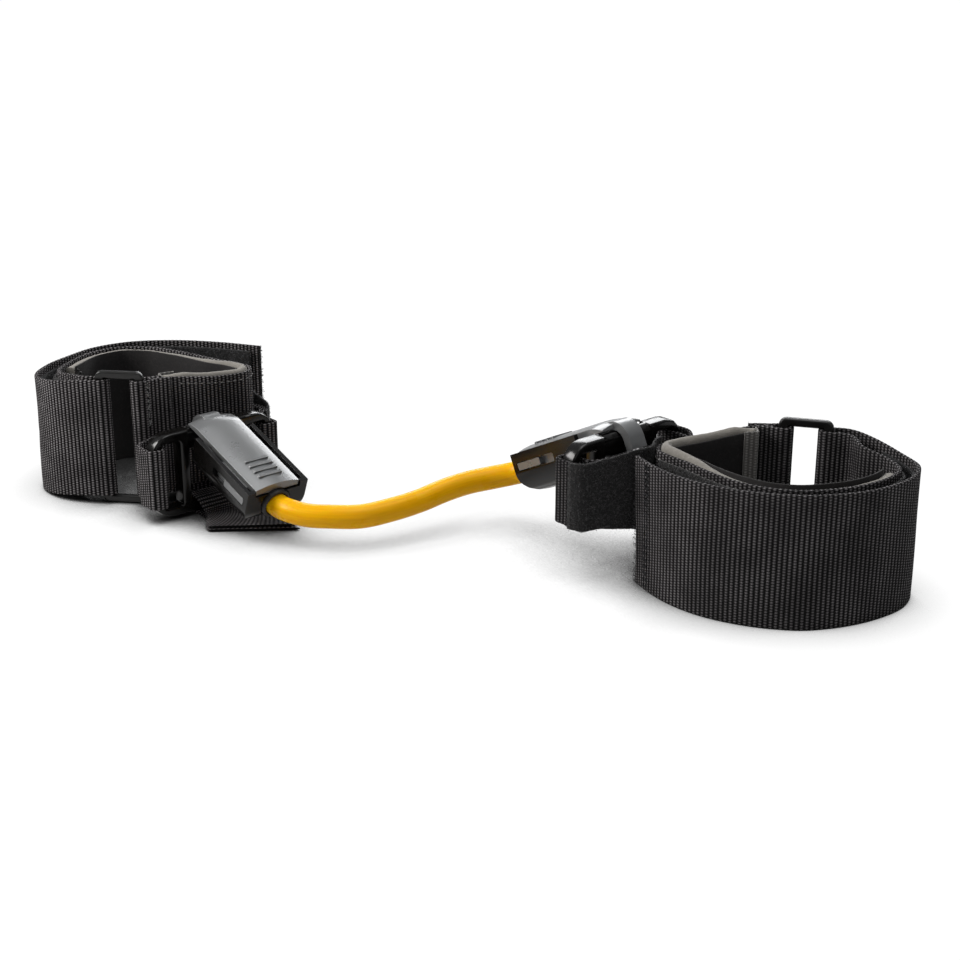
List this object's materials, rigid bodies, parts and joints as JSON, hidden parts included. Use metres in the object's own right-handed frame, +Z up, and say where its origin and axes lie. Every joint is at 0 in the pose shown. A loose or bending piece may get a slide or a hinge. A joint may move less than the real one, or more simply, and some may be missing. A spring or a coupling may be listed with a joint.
{
  "type": "lateral resistance trainer",
  "caption": "Two padded ankle cuffs joined by an elastic tube, with a snap clip at each end that hooks over a slotted plate on the cuff.",
  "frame": {"origin": "on the floor under the middle of the bounding box of both cuffs and the tube", "axes": "+X from the left cuff to the right cuff, +Y away from the viewer, +Z up"},
  "size_m": [0.3746, 0.1016, 0.058],
  "materials": {
    "black_webbing": "ribbed woven black webbing, matte",
    "gray_foam": "light gray foam padding, matte",
    "pad_lining": "black knit lining, matte",
    "gray_binding": "gray woven binding tape, matte",
    "loop_fabric": "black brushed loop pile",
    "hook_fabric": "black hook tape, matte",
    "black_plastic": "moulded black plastic, satin",
    "gray_plastic": "moulded light gray plastic, satin",
    "black_rubber": "black rubber, matte",
    "spring_steel": "bright spring wire",
    "amber_latex": "amber elastic tube, satin",
    "plug_plastic": "off-white plastic, satin"
  },
  "bodies": {
    "left_cuff": {"left_strap": "black_webbing", "left_pad_foam": "gray_foam", "left_pad_lining": "pad_lining", "left_pad_binding": "gray_binding", "left_loop_fabric": "loop_fabric", "left_hook_fabric": "hook_fabric", "left_ring": "black_plastic", "left_ring_webbing": "black_webbing", "left_anchor_plate": "black_plastic", "left_keeper_ring_side": "black_webbing", "left_keeper_free_side": "black_webbing", "left_anchor_patch": "loop_fabric", "left_pull_tab": "black_webbing"},
    "left_clip": {"left_clip_hook": "gray_plastic", "left_tube_collar": "black_rubber", "left_tube_plug": "plug_plastic", "left_latch_spring": "spring_steel", "resistance_tube": "amber_latex"},
    "left_sleeve": {"left_clip_sleeve": "black_plastic"},
    "right_clip": {"right_clip_hook": "gray_plastic", "right_tube_collar": "black_rubber", "right_tube_plug": "plug_plastic", "right_latch_spring": "spring_steel"},
    "right_sleeve": {"right_clip_sleeve": "black_plastic"},
    "right_cuff": {"right_strap": "black_webbing", "right_pad_foam": "gray_foam", "right_pad_lining": "pad_lining", "right_pad_binding": "gray_binding", "right_loop_fabric": "loop_fabric", "right_hook_fabric": "hook_fabric", "right_ring": "black_plastic", "right_ring_webbing": "black_webbing", "right_anchor_plate": "black_plastic", "right_keeper_ring_side": "black_webbing", "right_keeper_free_side": "black_webbing", "right_anchor_patch": "loop_fabric"}
  },
  "joints": [
    {"name": "left_clip_hinge", "type": "hinge", "parent": "left_cuff", "child": "left_clip", "pos_m": [-0.10012, -0.01872, 0.0328], "axis": [-0.3827, -0.9239, 0], "range_deg": [-3, 110]},
    {"name": "left_sleeve_slide", "type": "slide", "parent": "left_clip", "child": "left_sleeve", "axis": [0.8625, -0.3573, -0.3584], "range_m": [0, 0.008], "stiffness_N_per_m": 300, "springref_m": -0.003, "deforming": ["left_latch_spring"]},
    {"name": "tube_stretch", "type": "slide", "parent": "left_clip", "child": "right_clip", "axis": [0.841, 0.529, 0.113], "range_m": [0, 0.15], "stiffness_N_per_m": 400, "deforming": ["resistance_tube"]},
    {"name": "right_sleeve_slide", "type": "slide", "parent": "right_clip", "child": "right_sleeve", "axis": [-0.8304, 0.3439, -0.4384], "range_m": [0, 0.008], "stiffness_N_per_m": 300, "springref_m": -0.003, "deforming": ["right_latch_spring"]},
    {"name": "right_clip_hinge", "type": "hinge", "parent": "right_clip", "child": "right_cuff", "pos_m": [0.07578, 0.00228, 0.0489], "axis": [-0.3827, -0.9239, 0], "range_deg": [-15, 110]}
  ]
}
